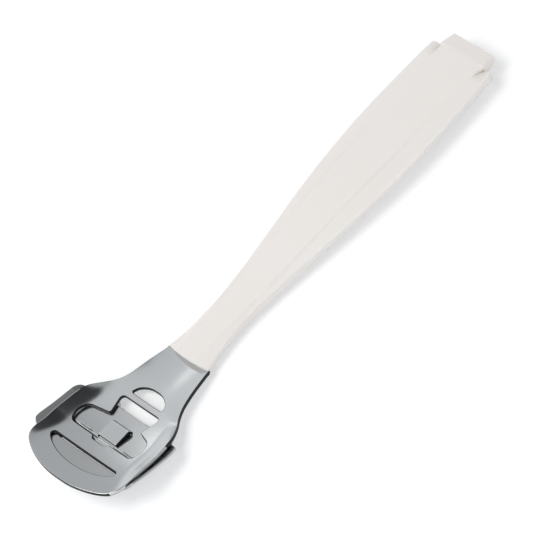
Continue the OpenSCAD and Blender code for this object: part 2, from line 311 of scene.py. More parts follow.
def cross_rod(name: str, x: Point, y: float, z: float, radius: float,
              bevel: float = 0.0) -> bpy.types.Object:
    """Make a rod along X, in millimetres.

    Args:
        name: Name of the piece.
        x: Where the rod starts and ends.
        y: Place of its axis along the tool.
        z: Height of its axis.
        radius: Radius of the rod.
        bevel: Width of the bevel round its two ends.

    Returns:
        The rod.
    """
    bpy.ops.mesh.primitive_cylinder_add(
        vertices=ROD_SIDES, radius=radius * MM, depth=(x[1] - x[0]) * MM,
        location=((x[0] + x[1]) / 2 * MM, y * MM, z * MM), rotation=(0, math.pi / 2, 0))
    piece = take_primitive(name)
    bake_place(piece)
    if bevel > 0:
        bevel_edges(piece, lambda ends: abs(ends[0].x - ends[1].x) < radius * MM / 100, bevel)
    return piece


# Sheet metal

def point_finder(loops: list[list[Point]]) -> KDTree:
    """Make a finder of the nearest point of some outlines.

    Args:
        loops: The outlines.

    Returns:
        The finder.
    """
    points = [point for loop in loops for point in loop]
    finder = KDTree(len(points))
    for index, (x, y) in enumerate(points):
        finder.insert((x, y, 0), index)
    finder.balance()
    return finder


@dataclass
class SheetBlank:
    """A flat blank of sheet with its holes, cut finely enough to be pressed.

    The blank's top is at height 0, and rounded edges keep its outline. Its edge faces are painted
    dark as shade, the outer edge's sides less so between two places along the tool, where it is polished.
    """

    name: str
    outline: list[Point]
    holes: list[list[Point]]
    thickness: float
    edge: float
    step: float
    # shares of painted shade on edge faces: outer sides inside the polished span, and the upper bevel ahead
    # of and behind its back end
    polished: Point = (0.0, 0.0)
    polished_side_shade: float = 0.3
    front_bevel_shade: float = 0.05
    back_bevel_shade: float = 0.95
    first_score: float = 0.37
    weld: float = 1e-7
    flat_angle: float = 0.3
    flat_tilt: float = 0.999
    rim_tilt: float = 0.5

    def cut(self) -> bpy.types.Object:
        """Cut the flat blank.

        Returns:
            The blank as a closed mesh.
        """
        curve = bpy.data.curves.new(self.name, "CURVE")
        curve.dimensions = "2D"
        curve.fill_mode = "BOTH"
        for loop in [self.outline, *self.holes]:
            spline = curve.splines.new("POLY")
            spline.points.add(len(loop) - 1)
            spline.use_cyclic_u = True
            for point, (x, y) in zip(spline.points, loop):
                point.co = (x * MM, y * MM, 0, 1)
        curve.extrude = (self.thickness / 2 - self.edge) * MM
        curve.bevel_depth = self.edge * MM
        curve.bevel_resolution = 1
        curve.offset = -self.edge * MM
        blank = bpy.data.objects.new(self.name, curve)
        bpy.context.collection.objects.link(blank)
        pick(blank)
        bpy.ops.object.convert(target="MESH")
        open_edit(blank)
        bpy.ops.mesh.remove_doubles(threshold=self.weld)
        bpy.ops.mesh.dissolve_limited(angle_limit=math.radians(self.flat_angle))
        bpy.ops.transform.translate(value=(0, 0, -self.thickness / 2 * MM))
        for axis in (0, 1):
            self._score(axis)
        bpy.ops.mesh.select_all(action="SELECT")
        bpy.ops.mesh.quads_convert_to_tris()
        close_edit()
        return blank

    def _score(self, axis: int) -> None:
        """Cut the blank across one axis at every step.

        Args:
            axis: 0 for cuts across X, or 1 for cuts across Y.
        """
        values = [point[axis] for point in self.outline]
        normal = (1, 0, 0) if axis == 0 else (0, 1, 0)
        place = math.floor(min(values) / self.step) * self.step + self.step * self.first_score
        while place < max(values):
            bpy.ops.mesh.select_all(action="SELECT")
            where = [0.0, 0.0, 0.0]
            where[axis] = place * MM
            bpy.ops.mesh.bisect(plane_co=where, plane_no=normal, threshold=HAIR)
            place += self.step

    def _edge_shade_share(self, face: bpy.types.MeshPolygon, rims: KDTree, holes: KDTree) -> float:
        """Find a face's share of painted edge shade.

        Args:
            face: A face of the flat blank.
            rims: Finder of the outline's points.
            holes: Finder of the holes' points.

        Returns:
            A share, which is 0 on the two flat sides.
        """
        tilt = face.normal.z
        if abs(tilt) > self.flat_tilt:
            return 0.0
        x, y = face.center.x / MM, face.center.y / MM
        # the holes' edges are painted fully dark as shade
        hole = holes.find((x, y, 0))[2]
        if hole is not None and hole < rims.find((x, y, 0))[2]:
            return 1.0
        # outer sides and upper bevels get their shares of painted shade
        front, back = self.polished
        if tilt < self.rim_tilt:
            return self.polished_side_shade if front < y < back else 1.0
        return self.front_bevel_shade if y < back else self.back_bevel_shade

    def press(self, blank: bpy.types.Object, die: Surface) -> None:
        """Press the blank onto a die and give its faces the die's own normals.

        Args:
            blank: The flat blank.
            die: Height of the sheet's upper side over a place, in millimetres.
        """
        mesh = blank.data
        flat = [round(p.normal.z) if abs(p.normal.z) > self.flat_tilt else 0 for p in mesh.polygons]
        rims, holes = point_finder([self.outline]), point_finder(self.holes)
        # paint the edge faces dark as shade
        mark_edge_shade(blank, [self._edge_shade_share(p, rims, holes) for p in mesh.polygons])
        normals: list[Vector] = []
        for vertex in mesh.vertices:
            x, y, drop = (c / MM for c in vertex.co)
            normal = die_normal(die, x, y)
            normals.append(normal)
            vertex.co = (Vector((x, y, die(x, y))) + normal * drop) * MM
        mesh.polygons.foreach_set("use_smooth", [True] * len(mesh.polygons))
        mesh.update()
        loops: list[Vector] = [Vector((0, 0, 0))] * len(mesh.loops)
        for side, face in zip(flat, mesh.polygons):
            if side:
                for index in face.loop_indices:
                    loops[index] = normals[mesh.loops[index].vertex_index] * side
        mesh.normals_split_custom_set(loops)


def die_normal(die: Surface, x: float, y: float, reach: float = 0.05) -> Vector:
    """Upward normal of a die's surface at a place.

    Args:
        die: The die.
        x: Place across the tool.
        y: Place along the tool.
        reach: Distance to the points that give the slope.

    Returns:
        The normal, one long.
    """
    slope_x = (die(x + reach, y) - die(x - reach, y)) / (2 * reach)
    slope_y = (die(x, y + reach) - die(x, y - reach)) / (2 * reach)
    return Vector((-slope_x, -slope_y, 1)).normalized()


@dataclass(frozen=True)
class HeadDie:
    """The die that gives the head plate its dish, side walls and neck trough."""

    dish_y: float = -52.0
    dish_z: float = 3.0
    dish_r: float = 143.0
    pitch: float = 0.06
    side_r: float = 240.0
    wall_x: float = 14.7
    wall_slope: float = 0.33
    wall_bend: float = 1.7
    wall_front: float = -75.0
    wall_front_len: float = 10.0
    wall_front_share: float = 0.75
    wall_flare: float = 2.2
    wall_back: float = -48.0
    wall_back_len: float = 9.0
    wall_turn: float = 1.8
    turn_y: float = -61.0
    turn_len: float = 11.0
    neck_r: float = 56.0
    neck_start: float = -50.0
    neck_end: float = -38.0
    collar_y: float = -33.0
    collar_len: float = 1.0

    def dish(self, x: float, y: float) -> float:
        """Height of the dish and the neck, without the side walls.

        Args:
            x: Place across the tool.
            y: Place along the tool.

        Returns:
            The height in millimetres.
        """
        ahead = min(y - self.dish_y, 0.0)
        level = ease((y - self.collar_y) / self.collar_len)
        along = ease((y - self.neck_start) / (self.neck_end - self.neck_start))
        bend = (1 - along) / self.side_r + along / self.neck_r
        fall = self.pitch * (min(y, self.collar_y) - self.dish_y)
        return self.dish_z - fall + ahead * ahead / (2 * self.dish_r) + x * x * bend * (1 - level) / 2

    def height(self, x: float, y: float) -> float:
        """Height of the head plate's upper side.

        Args:
            x: Place across the tool.
            y: Place along the tool.

        Returns:
            The height in millimetres.
        """
        front = ease((y - self.wall_front) / self.wall_front_len)
        back = 1 - ease((y - self.wall_back + self.wall_back_len) / self.wall_back_len)
        share = (self.wall_front_share + (1 - self.wall_front_share) * front) * back
        turn = self.wall_turn * ease((y - self.turn_y) / self.turn_len)
        fold = self.wall_x + self.wall_flare * (1 - front) - turn
        return self.dish(x, y) + self.wall_slope * share * soft_ramp(abs(x) - fold, self.wall_bend)


@dataclass(frozen=True)
class SoleDie:
    """The die that gives the sole its shelf, the blade's pocket across it, and its two ears."""

    head: HeadDie
    drop: float = 1.5
    shelf_drop: float = 0.95
    shelf_x: float = 15.2
    shelf_fade: float = 1.4
    pocket: Point = (-69.9, -65.1)
    pocket_ramps: Point = (0.5, 0.6)
    ear_x: float = 17.2
    ear_bend: float = 0.7
    ear_slope: float = 0.76
    ear_front: float = -72.0
    ear_back: float = -57.0
    ear_flatten: float = 0.25

    def height(self, x: float, y: float) -> float:
        """Height of the sole's upper side.

        Args:
            x: Place across the tool.
            y: Place along the tool.

        Returns:
            The height in millimetres.
        """
        share = ease((y - self.ear_front) / (self.ear_back - self.ear_front))
        slope = self.ear_slope * (1 - self.ear_flatten * share)
        rise = slope * soft_ramp(abs(x) - self.ear_x, self.ear_bend)
        before = ease((self.pocket[0] - y) / self.pocket_ramps[0])
        behind = ease((y - self.pocket[1]) / self.pocket_ramps[1])
        middle = 1 - ease((abs(x) - self.shelf_x) / self.shelf_fade)
        shelf = (self.drop - self.shelf_drop) * (before + behind) * middle
        return self.head.dish(x, y) - self.drop + shelf + rise


# Finishes

class Wiring:
    """Builds the nodes of one shader tree."""

    def __init__(self, tree: bpy.types.NodeTree) -> None:
        """Keep the tree to wire."""
        self.tree = tree

    def node(self, kind: str, inputs: dict[str | int, object] | None = None,
             **settings: object) -> bpy.types.Node:
        """Add a node.

        Args:
            kind: Type name of the node.
            inputs: Fixed values, or sockets to join, by the input's name or number.
            settings: The node's own settings.

        Returns:
            The node.
        """
        node = self.tree.nodes.new(kind)
        for key, value in settings.items():
            setattr(node, key, value)
        for key, value in (inputs or {}).items():
            self.feed(value, node.inputs[key])
        return node

    def feed(self, value: object, socket: bpy.types.NodeSocket) -> None:
        """Join a socket to an input, or set the input to a fixed value.

        Args:
            value: A socket or a fixed value.
            socket: The input.
        """
        if isinstance(value, bpy.types.NodeSocket):
            self.tree.links.new(value, socket)
        else:
            socket.default_value = value

    def math(self, how: str, a: object, b: object = 0.0) -> bpy.types.NodeSocket:
        """Join two values with one sum."""
        return self.node("ShaderNodeMath", {0: a, 1: b}, operation=how).outputs[0]

    def blend(self, share: object, a: object, b: object) -> bpy.types.NodeSocket:
        """Mix two colours, whose sockets are the seventh and eighth of the node."""
        return self.node("ShaderNodeMix", {0: share, 6: a, 7: b}, data_type="RGBA").outputs[2]

    def spread(self, value: object, start: object, end: object, ends: tuple[object, object] = (0.0, 1.0),
               how: str = "LINEAR") -> bpy.types.NodeSocket:
        """Spread the values between start and end over the range that ends gives."""
        inputs = {"Value": value, "From Min": start, "From Max": end, "To Min": ends[0], "To Max": ends[1]}
        return self.node("ShaderNodeMapRange", inputs, interpolation_type=how).outputs[0]

    def effect(self, name: str, **inputs: float) -> bpy.types.NodeOutputs:
        """Place a shared effect with its own values."""
        return self.node("ShaderNodeGroup", inputs, node_tree=bpy.data.node_groups[name]).outputs


def colour_of(rgb: Colour) -> tuple[float, float, float, float]:
    """Give a colour its full opacity."""
    return (*rgb, 1.0)


def make_group(name: str, takes: dict[str, float], gives: list[str]) -> Wiring:
    """Start a shader node group.

    Args:
        name: Name of the group.
        takes: Names and usual values of its inputs.
        gives: Names of its outputs.

    Returns:
        The wiring of the group.
    """
    group = bpy.data.node_groups.new(name, "ShaderNodeTree")
    for key, value in takes.items():
        socket = group.interface.new_socket(key, in_out="INPUT", socket_type="NodeSocketFloat")
        socket.default_value = value
    for key in gives:
        group.interface.new_socket(key, in_out="OUTPUT", socket_type="NodeSocketFloat")
    return Wiring(group)


def hair_scratches() -> None:
    """Build the group of fine scratches along the tool, with their height and a mask."""
    noise_middle, contrast = 0.5, 4.0
    wire = make_group("hair_scratches", {"Density": 1.0}, ["Height", "Mask"])
    density = wire.node("NodeGroupInput").outputs["Density"]
    place = wire.node("ShaderNodeTexCoord").outputs["Object"]
    fine = (0.12, (9000, 300, 9000), 3.0, 0.6)
    coarse = (-0.5, (2600, 130, 2600), 2.0, 0.4)
    layers = []
    for turn, scale, detail, weight in (fine, coarse):
        laid = wire.node("ShaderNodeMapping", {"Vector": place, "Rotation": (0, 0, turn), "Scale": scale})
        inputs = {"Vector": laid.outputs[0], "Scale": density, "Detail": detail}
        layers.append(wire.math("MULTIPLY", wire.node("ShaderNodeTexNoise", inputs).outputs[0], weight))
    height = wire.math("ADD", *layers)
    mask = wire.math("MULTIPLY", wire.math("SUBTRACT", height, noise_middle), contrast)
    wire.node("NodeGroupOutput", {"Height": height, "Mask": wire.math("MAXIMUM", mask, 0.0)})


def handling_marks() -> None:
    """Build the group of the cloudy marks that handling leaves, with their mask."""
    cloud_start, cloud_full = 0.35, 0.7
    wire = make_group("handling_marks", {"Size": 60.0}, ["Mask"])
    size = wire.node("NodeGroupInput").outputs["Size"]
    place = wire.node("ShaderNodeTexCoord").outputs["Object"]
    inputs = {"Vector": place, "Scale": size, "Detail": 5.0, "Roughness": 0.55}
    cloud = wire.node("ShaderNodeTexNoise", inputs)
    wire.node("NodeGroupOutput", {"Mask": wire.spread(cloud.outputs[0], cloud_start, cloud_full)})


def edge_wear_sheen_and_crease_shade() -> None:
    """Build the group that finds outer edges, for edge wear and a painted highlight, and inner corners, for
    painted crease shade.
    """
    flat, wear_start, cavity_start = 0.5, 0.3, 0.485
    wire = make_group("edge_wear_sheen_and_crease_shade", {"Reach": 0.06}, ["Mask", "Cavity"])
    reach = wire.node("NodeGroupInput").outputs["Reach"]
    point = wire.node("ShaderNodeNewGeometry").outputs["Pointiness"]
    low = wire.math("ADD", flat, wire.math("MULTIPLY", reach, wear_start))
    outer = wire.spread(point, low, wire.math("ADD", flat, reach))
    inner = wire.spread(point, cavity_start, wire.math("SUBTRACT", flat, reach))
    wire.node("NodeGroupOutput", {"Mask": outer, "Cavity": inner})


@dataclass(frozen=True)
class SteelFinish:
    """Stainless sheet with a soft polish, edges lightened for wear and a painted highlight, and cut edges
    painted near-black as shade.
    """

    name: str
    colour: Colour = (0.56, 0.58, 0.592)
    wear_and_sheen_colour: Colour = (0.66, 0.675, 0.68)
    edge_shade_colour: Colour = (0.035, 0.036, 0.038)
    roughness: float = 0.13
    cut_roughness: float = 0.4
    wear_and_sheen: float = 0.7
    scratch: float = 0.04
    scratch_bump: float = 0.02
    scratch_depth: float = 0.00002
    marks: float = 0.06

    def make(self) -> bpy.types.Material:
        """Build the material.

        Returns:
            The finished material.
        """
        material = bpy.data.materials.new(self.name)
        material.use_nodes = True
        wire = Wiring(material.node_tree)
        inputs = material.node_tree.nodes["Principled BSDF"].inputs
        effects = ("hair_scratches", "handling_marks", "edge_wear_sheen_and_crease_shade")
        lines, clouds, edges = (wire.effect(name) for name in effects)
        # outer edges lightened: partly wear, partly a painted highlight
        wear_and_sheen = wire.math("MULTIPLY", edges["Mask"], self.wear_and_sheen)
        colour = wire.blend(wear_and_sheen, colour_of(self.colour), colour_of(self.wear_and_sheen_colour))
        rough = wire.math("ADD", self.roughness, wire.math("MULTIPLY", clouds["Mask"], self.marks))
        rough = wire.math("ADD", rough, wire.math("MULTIPLY", lines["Mask"], self.scratch))
        bump = wire.node("ShaderNodeBump", {"Height": lines["Height"], "Strength": self.scratch_bump,
                                            "Distance": self.scratch_depth})
        # painted shade: edge faces blend toward near-black by their share of painted edge shade
        cut = wire.node("ShaderNodeAttribute", {}, attribute_name="painted_edge_shade").outputs["Fac"]
        cut_rough = wire.math("MULTIPLY", cut, self.cut_roughness)
        wire.feed(1.0, inputs["Metallic"])
        wire.feed(wire.blend(cut, colour, colour_of(self.edge_shade_colour)), inputs["Base Color"])
        wire.feed(wire.math("MAXIMUM", rough, cut_rough), inputs["Roughness"])
        wire.feed(bump.outputs[0], inputs["Normal"])
        return material


@dataclass(frozen=True)
class PlasticFinish:
    """Off-white moulded plastic with a soft sheen, a painted highlight on its ridges, painted shade in its
    creases and a painted grey-blue outline where it turns from view.
    """

    name: str
    colour: Colour = (0.86, 0.822, 0.8)
    shade: Colour = (0.84, 0.812, 0.775)
    # painted highlight along the ridges
    ridge_highlight_colour: Colour = (0.91, 0.895, 0.875)
    # painted shade in creases and inner corners
    crease_shade: Colour = (0.74, 0.69, 0.54)
    # painted grey-blue outline shade where the surface turns away from view
    rim: Colour = (0.5, 0.53, 0.57)
    shade_share: float = 0.6
    ridge_highlight_share: float = 0.3
    crease_shade_share: float = 0.8
    rim_start: float = 0.72
    rim_full: float = 0.98
    cloud_size: float = 45.0
    ridge_reach: float = 0.03
    roughness: float = 0.36
    cloud_roughness: float = 0.08
    pore_scale: float = 2600.0
    pore_bump: float = 0.08
    pore_depth: float = 0.00003
    ior: float = 1.49

    def make(self) -> bpy.types.Material:
        """Build the material.

        Returns:
            The finished material.
        """
        material = bpy.data.materials.new(self.name)
        material.use_nodes = True
        wire = Wiring(material.node_tree)
        inputs = material.node_tree.nodes["Principled BSDF"].inputs
        clouds = wire.effect("handling_marks", Size=self.cloud_size)
        edges = wire.effect("edge_wear_sheen_and_crease_shade", Reach=self.ridge_reach)
        facing = wire.node("ShaderNodeLayerWeight", {"Blend": 0.5}).outputs["Facing"]
        colour = colour_of(self.colour)
        # random tone, then a painted highlight on ridges and painted shade in creases
        for mask, share, other in ((clouds["Mask"], self.shade_share, self.shade),
                                   (edges["Mask"], self.ridge_highlight_share, self.ridge_highlight_colour),
                                   (edges["Cavity"], self.crease_shade_share, self.crease_shade)):
            colour = wire.blend(wire.math("MULTIPLY", mask, share), colour, colour_of(other))
        # painted outline shade at grazing angles
        colour = wire.blend(wire.spread(facing, self.rim_start, self.rim_full), colour, colour_of(self.rim))
        place = wire.node("ShaderNodeTexCoord").outputs["Object"]
        pores = wire.node("ShaderNodeTexNoise", {"Vector": place, "Scale": self.pore_scale, "Detail": 2.0})
        bump = wire.node("ShaderNodeBump", {"Height": pores.outputs[0], "Strength": self.pore_bump,
                                            "Distance": self.pore_depth})
        cloudy = wire.math("MULTIPLY", clouds["Mask"], self.cloud_roughness)
        wire.feed(self.ior, inputs["IOR"])
        wire.feed(colour, inputs["Base Color"])
        wire.feed(wire.math("ADD", self.roughness, cloudy), inputs["Roughness"])
        wire.feed(bump.outputs[0], inputs["Normal"])
        return material


class Finishes:
    """All the finishes of the tool."""

    def __init__(self) -> None:
        """Build the shared effects and the materials."""
        hair_scratches()
        handling_marks()
        edge_wear_sheen_and_crease_shade()
        self.plastic = PlasticFinish("handle_plastic").make()
        self.head = SteelFinish("head_steel").make()
        self.sole = SteelFinish("sole_steel", colour=(0.51, 0.525, 0.535), roughness=0.16).make()
        self.blade = SteelFinish("blade_steel", colour=(0.6, 0.61, 0.62), roughness=0.14,
                                 scratch=0.1).make()


def dress_piece(piece: bpy.types.Object, material: bpy.types.Material, body: Body,
                node: str) -> None:
    """Give a piece its finish and its body, and hide the CAD node that it stands for.
    """
    piece.data.materials.clear()
    piece.data.materials.append(material)
    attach(piece, body.value)
    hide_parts(node)


# The handle

@dataclass
class Handle:
    """Moulded handle: a raised band, side facets, a waist, shoulders and an end tab."""

    collar_y: float = -33.0
    waist_y: float = -16.0
    swell_y: float = 49.0
    shoulder_y: float = 76.6
    end_y: float = 81.0
    collar_half: float = 8.3
    waist_half: float = 6.3
    swell_half: float = 13.3
    shoulder_half: float = 12.15
    shoulder_r: float = 1.0
    collar_z: Point = (0.61, 4.21)
    collar_bow: float = 0.9
    collar_power: float = 2.2
    swell_power: float = 1.5
    rise_power: float = 1.4
    full_z: float = 6.2
    rise_len: float = 66.0
    band_half: Point = (4.6, 8.4)
    band_margin: float = 0.8
    under_half: Point = (2.4, 3.5)
    facet_fall: Point = (22.0, 9.0)
    under_rise: Point = (18.0, 21.0)
    widen_rate: float = 1.4
    side_above: float = 0.45
    side_height: float = 0.8
    ridge: Point = (0.45, 0.28)
    ridge_start: Point = (-22.0, 12.0)
    ridge_fade: float = 0.75
    fade_start: Point = (42.0, 20.0)
    tab_half: Point = (8.9, 8.1)
    tab_z: float = 3.1
    tab_fall: float = 0.45
    tab_edge: float = 0.8
    tab_rings: Point = (77.2, 80.4)
    tab_gap: float = 0.06
    notch_y: float = 71.2
    notch_len: float = 1.6
    notch_step: float = 0.08
    notch_z: Point = (4.2, 5.45)
    notch_slope: Point = (0.54, 0.3)
    ring_gap: float = 2.4
    collar_ring: float = 0.5
    notch_rings: tuple[float, ...] = (1.3, 2.6, 3.9)
    shoulder_rings: tuple[float, ...] = (0.8, 0.3, 0.0)
    socket_low: Place = (-3.85, -34.0, 0.8)
    socket_high: Place = (3.85, -14.8, 2.1)
    smooth_angle: float = 40.0

    def half(self, y: float) -> float:
        """Half width at a place along the handle.

        Args:
            y: Place along the handle.

        Returns:
            The half width in millimetres.
        """
        if y < self.waist_y:
            share = (self.waist_y - y) / (self.waist_y - self.collar_y)
            return self.waist_half + (self.collar_half - self.waist_half) * share ** self.collar_power
        if y < self.swell_y:
            share = math.sin(math.pi / 2 * ((y - self.waist_y) / (self.swell_y - self.waist_y)))
            return self.waist_half + (self.swell_half - self.waist_half) * share ** self.swell_power
        share = (y - self.swell_y) / (self.shoulder_y - self.swell_y)
        width = self.swell_half - (self.swell_half - self.shoulder_half) * share ** 2
        into = y - (self.shoulder_y - self.shoulder_r)
        if into > 0:
            width -= self.shoulder_r - math.sqrt(max(self.shoulder_r ** 2 - into ** 2, 0))
        return width

    def top(self, y: float) -> float:
        """Height of the band.

        Args:
            y: Place along the handle.

        Returns:
            The height in millimetres.
        """
        along = min(max((y - self.collar_y) / self.rise_len, 0.0), 1.0)
        share = ((1 - math.cos(math.pi * along)) / 2) ** self.rise_power
        return self.collar_z[1] + (self.full_z - self.collar_z[1]) * share

    def under(self, y: float) -> float:
        """Height of the flat underside."""
        share = 1 - (y - self.collar_y) / (self.rise_len / 2)
        return self.collar_z[0] * max(share, 0.0) ** 2

    def section(self, y: float) -> list[Point]:
        """Half section from the middle of the band round to the middle of the underside.

        Args:
            y: Place along the handle.

        Returns:
            Seven points of half width and height.
        """
        along = (y - self.waist_y) / (self.shoulder_y - self.waist_y)
        half, top, under = self.half(y), self.top(y), self.under(y)
        band = self.band_half[0] + (self.band_half[1] - self.band_half[0]) * along
        band = min(band, half - self.band_margin)
        flat = self.under_half[0] + (self.under_half[1] - self.under_half[0]) * along
        widening = min(max(along * self.widen_rate, 0.0), 1.0)
        fall, rise = (math.tan(math.radians(angle[0] + (angle[1] - angle[0]) * widening))
                      for angle in (self.facet_fall, self.under_rise))
        side_top = max(top - (half - band) * fall, (top + under) / 2 + self.side_above)
        side_low = min(under + (half - flat) * rise, side_top - self.side_height)
        near = ease((y - self.notch_y + self.notch_len) / self.notch_len)
        step = self.ridge[0] + (self.notch_step - self.ridge[0]) * near
        strength = ease((y - self.ridge_start[0]) / self.ridge_start[1])
        strength *= 1 - self.ridge_fade * ease((y - self.fade_start[0]) / self.fade_start[1])
        shelf = top - step * fall - self.ridge[1] * (1 - near) * strength
        if y >= self.notch_y:
            band = min(band, self.tab_half[0])
            left = self.shoulder_y - y
            shelf = min(shelf, self.notch_z[0] + left * self.notch_slope[0])
            side_top = min(side_top, self.notch_z[1] + left * self.notch_slope[1])
        return [(0.0, top), (band, top), (band + step, shelf), (half, side_top), (half, side_low),
                (flat, under), (0.0, under)]

    def tab_section(self, y: float) -> list[Point]:
        """Half section of the end tab, point for point like a section of the handle.

        Args:
            y: Place along the handle.

        Returns:
            Seven points of half width and height.
        """
        share = ease((y - self.shoulder_y) / (self.end_y - self.shoulder_y))
        side = self.tab_half[0] + (self.tab_half[1] - self.tab_half[0]) * share
        low, top = self.tab_z, self.full_z - self.tab_fall * share ** 2
        return [(0.0, top), (side, top), (side, top - self.tab_edge), (side, low + self.tab_edge),
                (side, low), (self.under_half[1], low), (0.0, low)]

    def rings(self) -> list[tuple[float, list[Point]]]:
        """List the handle's cross sections.

        Returns:
            Places along the handle with their half sections.
        """
        places = [self.collar_y, self.collar_y + self.collar_ring]
        while places[-1] < self.notch_y - 1.5 * self.ring_gap:
            places.append(places[-1] + self.ring_gap)
        places += [self.notch_y + ahead for ahead in (-self.notch_len, 0.0, *self.notch_rings)]
        places += [self.shoulder_y - behind for behind in self.shoulder_rings]
        tab = (self.shoulder_y + self.tab_gap, *self.tab_rings, self.end_y)
        return [(y, self.section(y)) for y in places] + [(y, self.tab_section(y)) for y in tab]

    def build(self) -> bpy.types.Object:
        """Model the handle.

        Returns:
            The handle.
        """
        bpy.ops.mesh.primitive_circle_add(vertices=RING_POINTS, radius=MM, fill_type="NGON")
        piece = take_primitive("handle_moulding")
        open_edit(piece)
        mesh = bmesh.from_edit_mesh(piece.data)
        order = mesh.verts.layers.int.new("order")
        mesh.verts.ensure_lookup_table()
        for index, vertex in enumerate(mesh.verts):
            vertex[order] = index
        bmesh.update_edit_mesh(piece.data)
        for index, (y, half) in enumerate(self.rings()):
            if index:
                bpy.ops.mesh.extrude_region_move()
            self._place_ring(piece, y, half)
        close_edit()
        turn_outwards(piece)
        self._crease(piece)
        finish_modifier(piece, "SUBSURF", levels=3, render_levels=3)
        cut_with(piece, block("tang_socket", self.socket_low, self.socket_high), Cut.DIFFERENCE)
        smooth_faces(piece, self.smooth_angle)
        return piece

    def dress(self, piece: bpy.types.Object, finishes: Finishes) -> None:
        """Dress the handle in white plastic."""
        dress_piece(piece, finishes.plastic, Body.GRIP, "handle")

    def _place_ring(self, piece: bpy.types.Object, y: float, half: list[Point]) -> None:
        """Move the selected ring to a section.

        Args:
            piece: The piece in edit mode.
            y: Place of the ring along the handle.
            half: Half section of the ring.
        """
        mesh = bmesh.from_edit_mesh(piece.data)
        order = mesh.verts.layers.int["order"]
        ring = half + [(-x, z) for x, z in reversed(half[1:-1])]
        bow = self.collar_bow if y < self.collar_y + 1 else 0.0
        for vertex in mesh.verts:
            if vertex.select:
                x, z = ring[vertex[order]]
                vertex.co = (x * MM, (y - bow * (1 - (x / self.collar_half) ** 2)) * MM, z * MM)
        bmesh.update_edit_mesh(piece.data)

    def _crease(self, piece: bpy.types.Object) -> None:
        """Crease the ridges, the side edges and the ends.

        Args:
            piece: The handle's cage, before its subdivision.
        """
        mesh = bmesh.new()
        mesh.from_mesh(piece.data)
        order = mesh.verts.layers.int["order"]
        crease = mesh.edges.layers.float.new("crease_edge")
        # creases along the handle, by the point of the half section that an edge runs through
        long_edges = {1: 0.7, 2: 0.6, 3: 0.55, 4: 0.72, 5: 0.5}
        notch_edges = {**long_edges, 1: 0.35, 2: 0.6}
        collar, end, shoulder = 0.85, 0.6, 0.85
        near = 0.05
        for edge in mesh.edges:
            a, b = edge.verts
            slot = min(a[order], RING_POINTS - a[order])
            low, high = sorted(v.co.y / MM for v in edge.verts)
            if a[order] == b[order]:
                edge[crease] = (notch_edges if low > self.notch_y - near else long_edges).get(slot, 0.0)
            elif high < self.collar_y + near:
                edge[crease] = collar
            elif low > self.end_y - near:
                edge[crease] = end
            elif low > self.shoulder_y - near and high < self.shoulder_y + self.tab_gap + near:
                on_top = all(v.co.z > (self.full_z - near) * MM for v in edge.verts)
                edge[crease] = 0.0 if on_top else shoulder
        mesh.to_mesh(piece.data)
        mesh.free()


# The head plate

